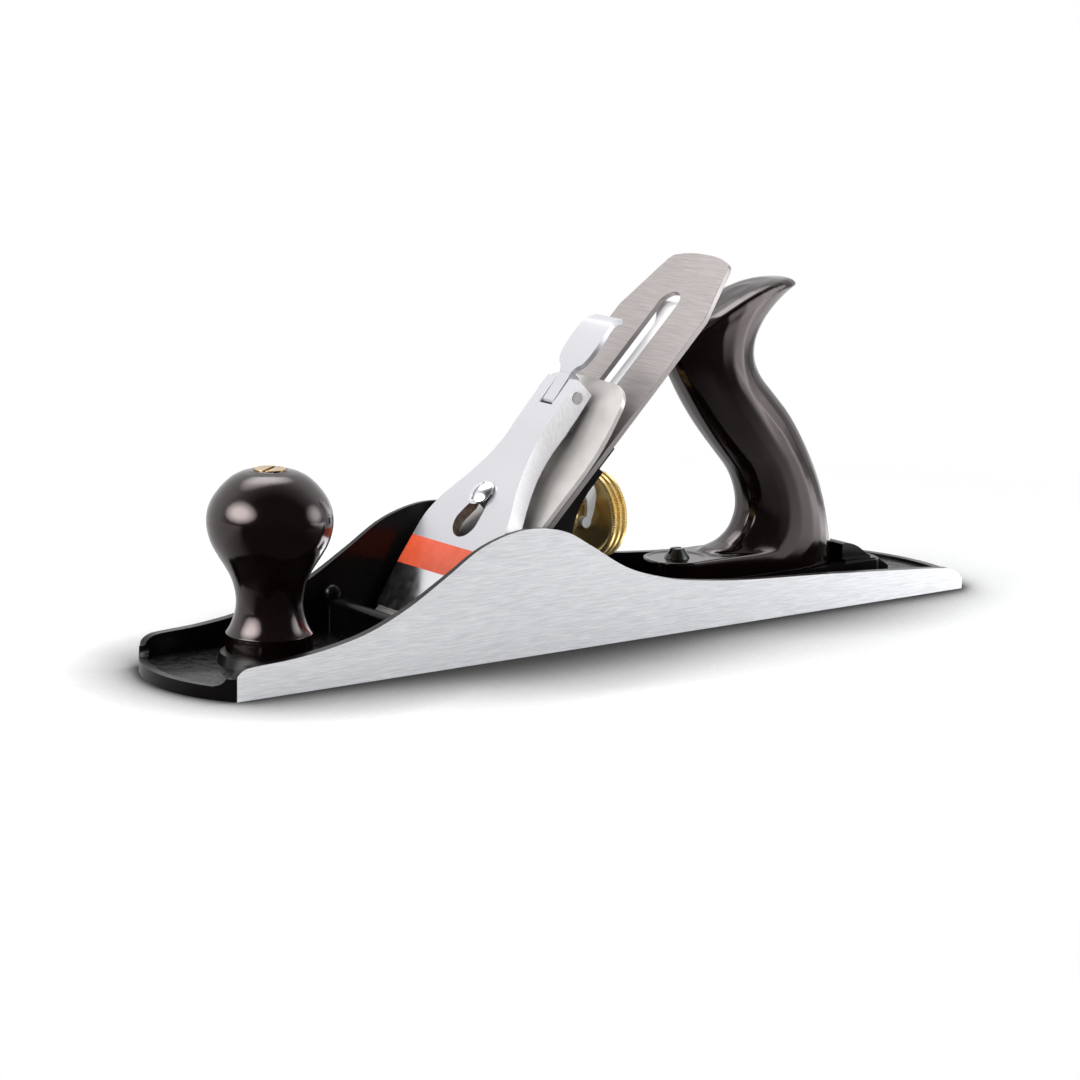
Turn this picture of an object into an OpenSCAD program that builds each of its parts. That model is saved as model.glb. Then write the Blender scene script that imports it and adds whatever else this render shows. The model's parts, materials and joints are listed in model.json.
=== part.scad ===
// Fourteen inch jack plane with an iron bedded at 45 degrees.
// The frame: X runs from the toe (-X) to the heel (+X), Y across, Z up.
// The origin is in the middle of the sole's underside. All sizes are in millimetres.

/* [Sole and cheeks] */
// Length of the sole from toe to heel
sole_len = 355; // [345:1:365]
// Width over the outside of the cheeks
body_w = 63.5; // [63:0.1:66]
// Thickness of the sole
sole_t = 3.6; // [3:0.1:4]
// Thickness of each cheek
cheek_t = 3.8; // [3.2:0.1:4]
// Depth of the toe's rounding in plan
toe_bulge = 11.3; // [8:0.1:14]
// Depth of the heel's rounding in plan
heel_bulge = 7.2; // [5:0.1:12]
// Height of the lip round the toe and the heel
lip_h = 4.7; // [4.4:0.1:6]
// Distance from the toe to where the bed plane meets the sole
toe_to_mouth = 105; // [104:0.5:106]

/* [Iron and cap iron] */
// Width of the cutting iron
iron_w = 50.1; // [48:0.1:50.4]
// Thickness of the cutting iron
iron_t = 2.1; // [1.8:0.1:2.2]
// Length of the iron above the point where its plane meets the sole
iron_top = 189.2; // [180:0.1:195]
// Width of the slot in the iron
iron_slot_w = 10.8; // [10.6:0.1:11.4]
// Angle of the ground bevel
bevel_angle = 25; // [22:1:30]
// Thickness of the cap iron
cap_iron_t = 2; // [1.6:0.1:2.1]

/* [Lever cap] */
// Half width of the lever cap's broad lower part
lever_cap_half = 24.9; // [23:0.1:25.2]
// Where along the bed the lever cap screw stands
cap_screw_s = 59.5; // [59:0.1:60]
// Distance that the lever cap slides up until its keyhole clears the screw
cap_release = 11.3; // [11:0.1:11.6]
// Length of the cam lever beyond its pin
cam_reach = 31; // [26:0.5:33]

/* [Frog and depth wheel] */
// Width of the frog
frog_w = 44; // [42:0.5:46]
// Height of the depth wheel's axis above the sole
wheel_z = 41.2; // [41:0.1:41.6]
// Radius of the depth wheel's rim
wheel_r = 16.1; // [14:0.1:16.6]
// Clearance on the radius of a bore that something turns or slides in
running = 0.05; // [0.02:0.01:0.08]

/* [Handles] */
// Distance from the toe to the front knob's axis
toe_to_knob = 44.5; // [42:0.5:48]
// Greatest radius of the front knob
knob_r = 22.1; // [20:0.1:23]
// Height of the front knob's top above the sole
knob_top = 72; // [70:0.5:76]
// Half thickness of the tote's grip
tote_half = 12.6; // [11:0.1:13]

/* [Hidden] */
$fn = 96;

toe_x = -sole_len / 2;
heel_x = sole_len / 2;
mouth_x = toe_x + toe_to_mouth;
knob_x = toe_x + toe_to_knob;
half_w = body_w / 2;
inner_half = half_w - cheek_t;
toe_r = (half_w * half_w + toe_bulge * toe_bulge) / (2 * toe_bulge);
heel_r = (half_w * half_w + heel_bulge * heel_bulge) / (2 * heel_bulge);
cut = 1;          // how far a cutting solid runs past the face that it opens

// Mouth
mouth_half = 26.7;
mouth_front = mouth_x - 5.3;
mouth_back = mouth_x + 1.7;

// Seats of the frog, with a hair of room under it so that it can slide
seat_gap = 0.05;
front_seat_z = 6;
rear_seat_z = 14;
rear_seat_x0 = mouth_x + 22.7;
rear_seat_x1 = mouth_x + 52.7;
frog_screw_x = mouth_x + 34.5;
frog_screw_y = 12;
frog_screw_r = 2.9;
frog_travel = 1;
frog_foot_top = 17.5;
frog_rear_x = mouth_x + 54.5;
frog_top_s = 101.5;
adjuster_z = 9.2;
adjuster_r = 2.5;

// Places along the bed, and depths below it
cap_iron_screw_s = 70.2;
tongue_s = 79;
yoke_s = 86;
yoke_n = -10.2;
yoke_pin_r = 1.6;
arm_in = 5.6;
arm_out = 7.4;
lobe_in = 4.5;
roller_s = 89.8;
lateral_pivot_s = 97;
rivet_r = 1.4;
lateral_t = 2;
lateral_top = -0.35;

// Depth wheel
groove_x0 = -2;
groove_x1 = 3;
groove_r = 3.9;
flange_r = 5.5;
stud_r = 3;
stud_x0 = -16;
stud_x1 = 14.5;
boss_end_x = -6.4;

// Lever cap and cam
keyhole_r = 6.45;
cap_screw_r = 3;
cap_screw_seat = 17.05;
cap_head_r = 5.5;
cam_pin_s = 108.4;
cam_pin_n = 15;
cam_pin_r = 1.6;
cap_end_half = 9.3;
cap_top_s = 113.4;
notch_s = 101.3;
notch_half = 3.8;
cam_half = 3.2;
bay_half = 7.2;
bay_roof = 17.9;
spring_half = 6.7;
spring_t = 0.8;
spring_rivet_s = 71;
spring_rivet_r = 1.6;

// Handles
pad_z = 11.5;
tote_foot_top = 20.5;
tote_foot_x0 = 37.4;
tote_x1 = 126;
tote_foot_half = 12.3;
toe_screw_x = 50.3;
toe_screw_r = 2.5;
rod_r = 3;
nut_r = 5.5;
knob_boss_z = 7.2;
tote_rod_top = [54, 109.5];
tote_rod_foot = [117, 11.5];
tote_rod_angle = atan2(tote_rod_top[1] - tote_rod_foot[1], tote_rod_foot[0] - tote_rod_top[0]);
tote_rod_len = norm(tote_rod_top - tote_rod_foot);

// One point of a smooth curve, t of the way from point i to the next
function curve_point(p, i, t) =
    let (a = p[max(i - 1, 0)], b = p[i], c = p[i + 1], d = p[min(i + 2, len(p) - 1)])
    0.5 * (2 * b + (c - a) * t + (2 * a - 5 * b + 4 * c - d) * t * t
        + (3 * b - 3 * c + d - a) * t * t * t);

// A smooth curve through all the points, with a number of steps between each two
function smooth(p, steps = 5) = concat(
    [for (i = [0:len(p) - 2]) for (j = [0:steps - 1]) curve_point(p, i, j / steps)],
    [p[len(p) - 1]]);

// Points of an arc round c, from angle a0 to angle a1
function arc(c, r, a0, a1, n = 8) =
    [for (i = [0:n]) let (a = a0 + (a1 - a0) * i / n) c + r * [cos(a), sin(a)]];

// Direction square to a path at its point i
function square_to(p, i) =
    let (d = p[min(i + 1, len(p) - 1)] - p[max(i - 1, 0)]) [-d[1], d[0]] / norm(d);

function flipped(p) = [for (i = [len(p) - 1:-1:0]) p[i]];
function mirrored(p) = [for (q = p) [q[0], -q[1]]];

// A band of half width h, or of half widths h[i], along a path
module band(p, h) {
    function half(i) = is_list(h) ? h[i] : h;
    polygon(concat(
        [for (i = [0:len(p) - 1]) p[i] + square_to(p, i) * half(i)],
        [for (i = [len(p) - 1:-1:0]) p[i] - square_to(p, i) * half(i)]));
}

// An outline in X and Z, made w thick across the plane
module across(w) {
    rotate([90, 0, 0]) linear_extrude(w, center = true) children();
}

// The bed's own frame: X up the bed, Y across and Z square to it, zero on the bed plane
module on_bed() {
    translate([mouth_x, 0, 0]) rotate([0, -45, 0]) children();
}

// A round bar along Y
module cross_bar(r, w) {
    rotate([90, 0, 0]) cylinder(r = r, h = w, center = true);
}

// A round bar along X from x0 to x1
module long_bar(r, x0, x1) {
    translate([x0, 0, 0]) rotate([0, 90, 0]) cylinder(r = r, h = x1 - x0);
}

// A slot for a screwdriver, across a head whose top is at z
module driver_slot(z, r, w = 1.2, depth = 1.2) {
    translate([-r - cut, -w / 2, z - depth]) cube([2 * (r + cut), w, depth + cut]);
}

// Plan of the sole, drawn in by inset all round
module sole_plan(inset = 0) {
    half = half_w - inset;
    intersection() {
        translate([toe_x, -half]) square([toe_r, 2 * half]);
        translate([toe_x + toe_r, 0]) circle(toe_r - inset, $fn = 180);
    }
    translate([toe_x + toe_r - cut, -half]) square([sole_len - toe_r - heel_r + 2 * cut, 2 * half]);
    intersection() {
        translate([heel_x - heel_r, -half]) square([heel_r, 2 * half]);
        translate([heel_x - heel_r, 0]) circle(heel_r - inset, $fn = 180);
    }
}

// Top edge of a cheek as X and Z: a step up at the toe, the hump beside the iron, a long fall
cheek_edge = smooth([
    [toe_x + 11, 7.9], [toe_x + 12, 9.4], [toe_x + 14.4, 10.8], [toe_x + 18.6, 11.4],
    [toe_x + 33.5, 12.1], [toe_x + 49.5, 14], [toe_x + 65.5, 17.6], [toe_x + 81.5, 24.2],
    [toe_x + 97.5, 33.2], [toe_x + 113.5, 42.3], [toe_x + 131.5, 46.5], [toe_x + 148.5, 44.2],
    [toe_x + 161.5, 37.4], [toe_x + 177.5, 27.9], [toe_x + 193.5, 22.4], [toe_x + 210.5, 19],
    [toe_x + 237.5, 16.2], [toe_x + 273.5, 14.1], [toe_x + 314.5, 11.2], [heel_x - 18, 9.3],
    [heel_x - 13.5, 8.5], [heel_x - 10, 6.9], [heel_x - 7.6, 4.8]
]);

module cheeks() {
    slope = atan2(2.1, 42);
    profile = concat([[toe_x - cut, 0], [toe_x - cut, 7.6], [toe_x + 10, 7.8]], cheek_edge,
        [[heel_x, 4.7], [heel_x, 0]]);
    for (side = [-1, 1]) difference() {
        intersection() {
            linear_extrude(60) sole_plan();
            translate([0, side * (half_w - cheek_t / 2), 0])
                across(cheek_t) difference() {
                    polygon(profile);
                    translate([toe_x - 2 * cut, 4.7]) square([10 + 2 * cut, 8]);
                }
        }
        // The inner face leans outward, so that a cheek is thinner at its top
        translate([0, side * inner_half, 4]) rotate([-side * slope, 0, 0])
            translate([-sole_len, side > 0 ? -20 : 0, 0]) cube([2 * sole_len, 20, 70]);
    }
    // Each cheek turns in round the toe and falls to the lip
    toe_corner = smooth([[half_w + 0.1, 11.2], [30.6, 10.3], [29, 8.3], [27.2, 5.9], [24.5, 4.8]], 4);
    difference() {
        intersection() {
            linear_extrude(14) sole_plan();
            across(body_w + 2) polygon(profile);
            for (side = [-1, 1])
                translate([toe_x, 0, 0]) rotate([90, 0, 90]) linear_extrude(17)
                    polygon([for (q = concat(toe_corner, [[24.5, 1], [half_w + 0.1, 1]])) [side * q[0], q[1]]]);
        }
        translate([0, 0, -cut]) linear_extrude(20) sole_plan(3.4);
    }
}

// Lip round the toe and the heel
module end_lips() {
    lip_t = 3;
    difference() {
        linear_extrude(lip_h) sole_plan();
        translate([0, 0, -cut]) linear_extrude(lip_h + 2 * cut) sole_plan(lip_t);
        translate([toe_x + 12, -half_w - cut, -cut])
            cube([sole_len - 20, body_w + 2 * cut, lip_h + 2 * cut]);
    }
}

// Raised boss under the knob, and the beaded rib ahead of the mouth
module toe_ribs() {
    rib_x = mouth_x - 15.9;
    rib_z = 14.3;
    translate([knob_x, 0, 0]) cylinder(r1 = 19.4, r2 = 17.2, h = knob_boss_z);
    translate([rib_x, 0, rib_z]) cross_bar(2.1, 2 * inner_half + 0.8);
    translate([rib_x - 1.4, -inner_half - 0.4, 0]) cube([2.8, 2 * inner_half + 0.8, rib_z]);
    for (side = [-1, 1])
        translate([rib_x - 0.3, side * (inner_half - 0.4), 0]) {
            cylinder(r = 1.6, h = 17.6);
            translate([0, 0, 17.6]) sphere(r = 3.5);
        }
}

// Seats behind the mouth that the frog stands on
module frog_seats() {
    translate([mouth_x, -inner_half - cut / 2, 0]) cube([16, 2 * inner_half + cut, front_seat_z]);
    translate([rear_seat_x0, -19, 0])
        cube([rear_seat_x1 - rear_seat_x0, 38, rear_seat_z]);
}

// Pad under the tote, and the stepped mound that backs it
module tote_pad() {
    pad_half = 13.2;
    translate([tote_foot_x0 + 12, 0, 0]) cylinder(r = pad_half, h = pad_z);
    translate([tote_foot_x0 + 12, -pad_half, 0]) cube([92, 2 * pad_half, pad_z]);
    translate([141, 0, 0]) scale([0.45, 1, 1]) cylinder(r = pad_half, h = pad_z);
    across(19) polygon(concat(
        [[117, 0], [117, pad_z], [tote_x1 + 0.4, pad_z], [tote_x1 + 0.4, 18.6]],
        smooth([[tote_x1 + 2, 19], [131.6, 18.2], [135.4, 16.4], [138.6, 14], [141.4, 12.6]]),
        [[141.4, 0]]));
    across(23) polygon(concat(
        [[tote_x1 + 0.4, 0], [tote_x1 + 0.4, 12.8], [139, 12.4]],
        smooth([[142, 11.9], [145, 10.7], [147.6, 9.2], [149.2, 8]]),
        [[149.2, 0]]));
}

module body_casting() {
    color("#2b2b2d") difference() {
        union() {
            linear_extrude(sole_t) sole_plan();
            cheeks();
            end_lips();
            toe_ribs();
            frog_seats();
            tote_pad();
        }
        // Mouth: relieved to the front, and cut at the bed's angle behind the iron
        across(2 * mouth_half) polygon([
            [mouth_front, -cut], [mouth_front, 0], [mouth_front - 4.6, 4.6],
            [mouth_front - 4.6, front_seat_z + cut], [mouth_back + front_seat_z + cut, front_seat_z + cut],
            [mouth_back, 0], [mouth_back, -cut]
        ]);
        for (side = [-1, 1])
            translate([frog_screw_x, side * frog_screw_y, 5])
                cylinder(r = frog_screw_r + running, h = rear_seat_z);
        translate([0, 0, adjuster_z]) long_bar(adjuster_r + running, rear_seat_x1 - 20, rear_seat_x1 + cut);
        translate([knob_x, 0, 2.6]) cylinder(r = rod_r + running, h = knob_boss_z);
        translate([toe_screw_x, 0, 4]) cylinder(r = toe_screw_r + running, h = pad_z);
        tote_rod_frame() translate([0, 0, -9.6]) cylinder(r = rod_r + running, h = 14);
    }
}

// Side outline of the frog's webs: the bed, the thin top, and the rear edge down to the foot
bed_x = mouth_x + 2 * seat_gap;
frog_edge = smooth([
    [frog_rear_x + 0.3, 38], [frog_rear_x + 1.3, 43.6], [frog_rear_x + 3.9, 49.7],
    [frog_rear_x + 9, 56.8], [frog_rear_x + 13.4, 61.4]
], 4);

// A block on the frog's face, in the bed's frame
module face_block(s0, s1, half, n0, n1) {
    translate([s0, -half, n0]) cube([s1 - s0, 2 * half, n1 - n0]);
}

module frog_solids() {
    web_t = 4;
    foot_z = rear_seat_z + seat_gap;
    for (side = [-1, 1])
        translate([0, side * (frog_w - web_t) / 2, 0])
            across(web_t) polygon(concat(
                [[bed_x + foot_z, foot_z], [frog_rear_x, foot_z]],
                frog_edge, [[bed_x + 63, 63]]));
    intersection() {
        on_bed() {
            face_block(0, 92, frog_w / 2, -5, -seat_gap);
            face_block(91, frog_top_s, frog_w / 2, -2.8, -seat_gap);
            face_block(78, frog_top_s - 1, 14, -5, -2);
        }
        translate([mouth_x - 20, -frog_w, front_seat_z + seat_gap]) cube([140, 2 * frog_w, 90]);
    }
    // Foot, with the block for the clip and the rib up to the wheel's stud
    translate([bed_x + 18, -frog_w / 2, foot_z])
        cube([frog_rear_x - bed_x - 18, frog_w, frog_foot_top - foot_z]);
    translate([frog_rear_x - 14, -7.5, foot_z]) cube([14, 15, 13]);
    across(7) polygon([
        [bed_x + 20, foot_z], [frog_rear_x, foot_z], [frog_rear_x, 27], [boss_end_x - 2, wheel_z - 4],
        [boss_end_x - 2, wheel_z + 3], [bed_x + 48, wheel_z + 6]
    ]);
    translate([0, 0, wheel_z]) long_bar(6.5, -23, boss_end_x);
    on_bed() {
        translate([cap_screw_s, 0, -12]) cylinder(r = 6.5, h = 10);
        for (side = [-1, 1])
            translate([0, side * 9.1, 0]) {
                translate([yoke_s, 0, yoke_n]) cross_bar(3.4, 2.2);
                translate([yoke_s - 3.4, -1.1, yoke_n]) cube([6.8, 2.2, -yoke_n - 3]);
            }
    }
}

module frog() {
    color("#333336") difference() {
        frog_solids();
        // Slots in the foot for the frog screws, and the way down to them through the face
        for (side = [-1, 1]) translate([frog_screw_x, side * frog_screw_y, 0]) {
            for (x = [-1.3, 1.3]) translate([x, 0, 10]) cylinder(r = 3.2, h = 10);
            translate([-1.3, -3.2, 10]) cube([2.6, 6.4, 10]);
            for (x = [-1.3, 1.3]) translate([x, 0, frog_foot_top]) cylinder(r = 6, h = 40);
            translate([-1.3, -6, frog_foot_top]) cube([2.6, 12, 40]);
        }
        on_bed() {
            translate([cap_screw_s, 0, -11.2]) cylinder(r = cap_screw_r + running, h = 20);
            face_block(63.2, 86, 6.5, -4.4, cut);
            face_block(74.5, 86, 6.5, -7, cut);
            face_block(83.6, frog_top_s + cut, 6.4, -2.75, cut);
            translate([lateral_pivot_s, 0, -6]) cylinder(r = rivet_r, h = 8);
            translate([yoke_s, 0, yoke_n]) cross_bar(yoke_pin_r + 0.02, 40);
            // Room for the yoke between its lugs
            translate([yoke_s - 6.5, -8, yoke_n - 6]) cube([14, 16, 11.2]);
        }
        translate([0, 0, wheel_z]) long_bar(stud_r + running, stud_x0 - 3.2, boss_end_x + cut);
        translate([0, 0, 22]) long_bar(1.5, frog_rear_x - 9, frog_rear_x + cut);
    }
}

module frog_screws() {
    head_z = frog_foot_top + 1.25;
    color("#8d8f92") for (side = [-1, 1])
        translate([frog_screw_x, side * frog_screw_y, 0]) difference() {
            union() {
                translate([0, 0, 5.4]) cylinder(r = frog_screw_r, h = head_z - 5);
                translate([0, 0, head_z]) cylinder(r = 5, h = 3.6);
            }
            driver_slot(head_z + 3.6, 5);
        }
}

module frog_screw_washers() {
    color("#a5a7a9") for (side = [-1, 1])
        translate([frog_screw_x, side * frog_screw_y, frog_foot_top + seat_gap])
            difference() {
                cylinder(r = 5.6, h = 1.2);
                translate([0, 0, -cut]) cylinder(r = frog_screw_r + 0.1, h = 4);
            }
}

// The screw behind the frog: thread, neck for the clip, and slotted head
module frog_adjusting_screw() {
    color("#9a9b9d") translate([0, 0, adjuster_z]) {
        long_bar(adjuster_r, rear_seat_x1 - 18, frog_rear_x - 0.4);
        long_bar(1.9, frog_rear_x - 1, frog_rear_x + 2.5);
        difference() {
            long_bar(4, frog_rear_x + 2, frog_rear_x + 6.5);
            translate([frog_rear_x + 5.3, -0.6, -5]) cube([3, 1.2, 10]);
        }
    }
}

module frog_clip() {
    color("#8d8f92") difference() {
        translate([frog_rear_x, -7, 5.5]) cube([1.6, 14, 20.5]);
        translate([0, 0, adjuster_z]) long_bar(2.3, frog_rear_x - cut, frog_rear_x + 3);
        translate([frog_rear_x - cut, -2.3, 0]) cube([4, 4.6, adjuster_z]);
        translate([0, 0, 22]) long_bar(1.7, frog_rear_x - cut, frog_rear_x + 3);
    }
}

module frog_clip_screw() {
    color("#9a9b9d") translate([0, 0, 22]) difference() {
        union() {
            long_bar(1.45, frog_rear_x - 8, frog_rear_x + 2);
            long_bar(3.1, frog_rear_x + 1.6, frog_rear_x + 3.6);
        }
        translate([frog_rear_x + 2.8, -0.5, -4]) cube([2, 1, 8]);
    }
}

// Forked bell crank: two sickle arms into the wheel's groove, and the tongue through the frog
module yoke_lever() {
    pin_x = mouth_x + (yoke_s - yoke_n) / sqrt(2);
    pin_z = (yoke_s + yoke_n) / sqrt(2);
    lobe_x = (groove_x0 + groove_x1) / 2;
    lobe_z = wheel_z - 1;
    arm = smooth([[lobe_x + 0.8, lobe_z], [lobe_x + 1.6, lobe_z + 3], [lobe_x + 2, lobe_z + 6],
        [lobe_x + 2, lobe_z + 9.4], [lobe_x + 0.2, lobe_z + 12.6], [pin_x, pin_z]], 3);
    color("#c9cbce") difference() {
        union() {
            for (side = [-1, 1]) {
                translate([0, side * (arm_in + arm_out) / 2, 0]) across(arm_out - arm_in)
                    band(arm, [1, 1.1, 1.2, 1.4, 1.5, 1.7, 1.8, 1.9, 2.1, 2.3, 2.5, 2.6, 2.6, 2.6, 2.6, 2.6]);
                translate([lobe_x, side * (lobe_in + arm_out) / 2, lobe_z])
                    cross_bar(2.05, arm_out - lobe_in);
            }
            translate([pin_x, 0, pin_z]) cross_bar(2.9, 2 * arm_out);
            on_bed() across(7.2) band(
                smooth([[yoke_s - 1.6, yoke_n + 2], [82.6, -5.6], [tongue_s + 1, -1.5], [tongue_s, 5.4]], 3),
                [2.3, 2.3, 2.2, 2.1, 2, 1.8, 1.6, 1.5, 1.4, 1.3]);
        }
        translate([pin_x, 0, pin_z]) cross_bar(yoke_pin_r + running, 30);
    }
}

module yoke_pin() {
    color("#b8babd") on_bed() translate([yoke_s, 0, yoke_n]) cross_bar(yoke_pin_r, 20.4);
}

module depth_stud() {
    color("#c2a35a") translate([0, 0, wheel_z]) long_bar(stud_r, stud_x0, stud_x1);
}

// Brass wheel: a grooved hub for the yoke, a dished web and a rim of three ridges
module depth_wheel() {
    rim_x0 = 6.6;
    rim_x1 = 13.6;
    ridge_w = (rim_x1 - rim_x0) / 3;
    ridges = [for (i = [0:2]) let (x = rim_x0 + i * ridge_w)
        each [[wheel_r - 1.1, x], [wheel_r, x + 0.45], [wheel_r, x + ridge_w - 0.65],
            [wheel_r - 1.1, x + ridge_w - 0.2]]];
    color("#c9a44c") translate([0, 0, wheel_z]) rotate([0, 90, 0]) rotate_extrude()
        polygon(concat(
            [[stud_r + running, -3.4], [flange_r, -3.4], [flange_r, groove_x0], [groove_r, groove_x0],
                [groove_r, groove_x1], [flange_r, groove_x1], [flange_r, 4.6], [4.9, 4.9]],
            [[4.9, 8.3], [11.6, 8.6], [13.4, 8], [14.4, rim_x0]],
            ridges,
            [[14.4, rim_x1], [13.2, 12], [9, 11.6], [7.5, 15.4], [stud_r + running, 15.4]]));
}

// Flat lever behind the iron: round foot, waist and a stem bent clear of the iron, with a tab
module lateral_lever() {
    stem = smooth([[99.5, lateral_top - lateral_t / 2], [105, -1.5], [112, -1.9], [126, -2.3],
        [146, -2.6], [160, -2.5], [166, -2.3], [168, -3.2], [168.6, -5.8]], 4);
    stem_half = smooth([[99, 4], [106, 3.8], [150, 4], [158, 4.6], [163, 8], [166, 9], [171, 8.8]], 3);
    color("#bfc3c9") on_bed() {
        difference() {
            translate([0, 0, lateral_top - lateral_t]) linear_extrude(lateral_t) {
                translate([roller_s, 0]) circle(5);
                translate([roller_s, -4]) square([10.4, 8]);
                translate([lateral_pivot_s, 0]) circle(5);
            }
            translate([lateral_pivot_s, 0, -5]) cylinder(r = rivet_r + running, h = 8);
            translate([roller_s, 0, -5]) cylinder(r = 1.5, h = 8);
        }
        intersection() {
            across(30) band(stem, lateral_t / 2);
            translate([0, 0, -12]) linear_extrude(14)
                polygon(concat(stem_half, mirrored(flipped(stem_half))));
        }
    }
}

module lateral_roller() {
    color("#b8babd") on_bed() translate([roller_s, 0, 0]) {
        translate([0, 0, lateral_top]) cylinder(r = 4.6, h = 2.05);
        translate([0, 0, lateral_top - lateral_t]) cylinder(r = 1.45, h = lateral_t + 0.2);
    }
}

module lateral_rivet() {
    color("#9a9b9d") on_bed() translate([lateral_pivot_s, 0, 0]) {
        translate([0, 0, -5]) cylinder(r = rivet_r - 0.02, h = 5);
        translate([0, 0, lateral_top + 0.05]) cylinder(r = 2.2, h = 1.2);
    }
}

// Iron: bevel on the underside, clipped top corners and a long slot with a keyhole
module cutting_iron() {
    half = iron_w / 2;
    edge_s = -1.82;
    side_top = iron_top - 28.7;
    corner = [iron_top - 6.4, 13.6];
    crown_r = 60;
    edge = concat(
        [[edge_s - 4, half], [side_top, half], [iron_top - 4.8, 17.6]],
        arc(corner, 4.4, 35, 15, 3),
        [for (y = [11, 7.5, 4]) [iron_top - crown_r + sqrt(crown_r * crown_r - y * y), y]]);
    color("#b9b5b1") on_bed() difference() {
        intersection() {
            translate([0, 0, -cut]) linear_extrude(6) polygon(concat(edge, mirrored(flipped(edge))));
            across(iron_w + 4) polygon([
                [edge_s, iron_t], [edge_s + iron_t / tan(bevel_angle), 0], [iron_top + 2, 0],
                [iron_top + 2, iron_t]
            ]);
        }
        translate([50, 0, -cut]) cylinder(r = 7.2, h = 6);
        translate([50, -iron_slot_w / 2, -cut]) cube([114.8, iron_slot_w, 6]);
        translate([164.8, 0, -cut]) cylinder(r = iron_slot_w / 2, h = 6);
    }
}

// Cap iron: chisel lip and hump at the edge, flat on the iron, then bent away at the top
module cap_iron() {
    half = iron_w / 2 - 0.2;
    flat_n = iron_t + cap_iron_t / 2;
    profile = concat(
        smooth([[-0.8, 2.6], [1.4, 3.9], [4, 4.9], [7.5, 5.3], [12, 4.9], [19, 3.9], [26, flat_n + 0.25],
            [34, flat_n]], 4),
        smooth([[84, flat_n], [93, flat_n + 0.5], [100, flat_n + 1.45], [108, flat_n + 3.25],
            [114.5, flat_n + 4.9], [122, flat_n + 6.5]], 4));
    corner_r = 8.5;
    edge = concat(
        [[-2, half]], arc([112.1, half - corner_r], corner_r, 90, 12, 8),
        [for (y = [13, 8, 4]) [121.2 - y * y * 0.003, y]]);
    color("#c3c0bc") on_bed() difference() {
        intersection() {
            across(iron_w) band(profile, cap_iron_t / 2);
            translate([0, 0, iron_t - 1]) linear_extrude(20) polygon(concat(edge, mirrored(flipped(edge))));
        }
        // The lip is honed flat where it meets the iron
        translate([-3, -iron_w / 2, iron_t - 3]) cube([9, iron_w, 3]);
        for (s = [56.4, 61.6]) translate([s, 0, 0]) cylinder(r = 4.4, h = 12);
        translate([56.4, -4.4, 0]) cube([5.2, 8.8, 12]);
        translate([cap_iron_screw_s, 0, 0]) cylinder(r = 3.2, h = 12);
        translate([tongue_s - 2.4, -4.6, 0]) cube([4.8, 9.2, 12]);
    }
}

module cap_iron_screw() {
    color("#9a9b9d") on_bed() translate([cap_iron_screw_s, 0, 0]) difference() {
        union() {
            translate([0, 0, -3.2]) cylinder(r = 5.6, h = 3.2);
            translate([0, 0, -0.5]) cylinder(r = 3.15, h = iron_t + cap_iron_t + 0.4);
        }
        translate([-7, -0.7, -4.2]) cube([14, 1.4, 2.4]);
    }
}

// Half width of the lever cap along the bed
lever_cap_flank = smooth([
    [43, lever_cap_half], [47.5, lever_cap_half - 0.6], [52, lever_cap_half - 2.2], [56, lever_cap_half - 4],
    [60, 18.6], [65, 16], [70, 13.7], [75, 11.8], [80, 10.4], [86, cap_end_half + 0.1], [94, cap_end_half],
    [cap_top_s, cap_end_half]
], 4);

// Top face of the lever cap as distance along the bed and height over it
lever_cap_crown = smooth([
    [9, 7.3], [13, 8.3], [20, 9.9], [28, 11.6], [38, 13.3], [47, 14.8], [54, 15.8], [60, 16.3],
    [75, 16.9], [85, 17.6], [94, 18.4], [cap_top_s + 1, 19.3]
], 4);

module lever_cap_plan(inset = 0) {
    edge = concat(
        [[9.4 + inset, lever_cap_half - 1 - inset], [10.4 + inset, lever_cap_half - inset]],
        [for (p = lever_cap_flank) p - [0, inset]]);
    polygon(concat(edge, mirrored(flipped(edge))));
}

module lever_cap() {
    wall = 2.2;
    skirt_low = smooth([[9, 6.5], [14, 6.45], [24, 6.6], [36, 7.2], [50, 8.2], [62, 8.6], [80, 8.9], [92, 9.1],
        [102, 9.6], [108, 10.2], [cap_top_s + 1, 10.9]], 4);
    // Underside of the plate: thick round the keyhole, thin over the cam
    hollow_top = smooth([[13, 5.2], [20, 7.2], [28, 8.9], [38, 10.1], [47, 10.9], [54, 11.8], [60, 12.9],
        [68, 13.9], [76, 14.3], [90, 15.3], [98, 16], [101, 17.5], [cap_top_s + 4, bay_roof + 0.1]], 4);
    color("#d5d7da") on_bed() difference() {
        intersection() {
            across(60) polygon(concat(lever_cap_crown, flipped(skirt_low)));
            translate([0, 0, -cut]) linear_extrude(30) lever_cap_plan();
        }
        intersection() {
            across(60) polygon(concat(hollow_top, [[cap_top_s + 4, 0], [13, 0]]));
            translate([0, 0, -cut]) linear_extrude(30) lever_cap_plan(wall);
            translate([0, -40, -5]) cube([cap_top_s - 1.5, 80, 40]);
        }
        // The cam's bay is open at the top end
        translate([notch_s, -bay_half, 0]) cube([20, 2 * bay_half, bay_roof]);
        keyhole();
        translate([notch_s, -notch_half, 10]) cube([20, 2 * notch_half, 20]);
        translate([cam_pin_s, 0, cam_pin_n]) {
            cross_bar(cam_pin_r, 40);
            for (side = [-1, 1]) translate([0, side * (cap_end_half + 0.2), 0]) cross_bar(2.4, 2);
        }
        translate([spring_rivet_s, 0, 0]) cylinder(r = spring_rivet_r, h = 15.4);
    }
}

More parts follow.
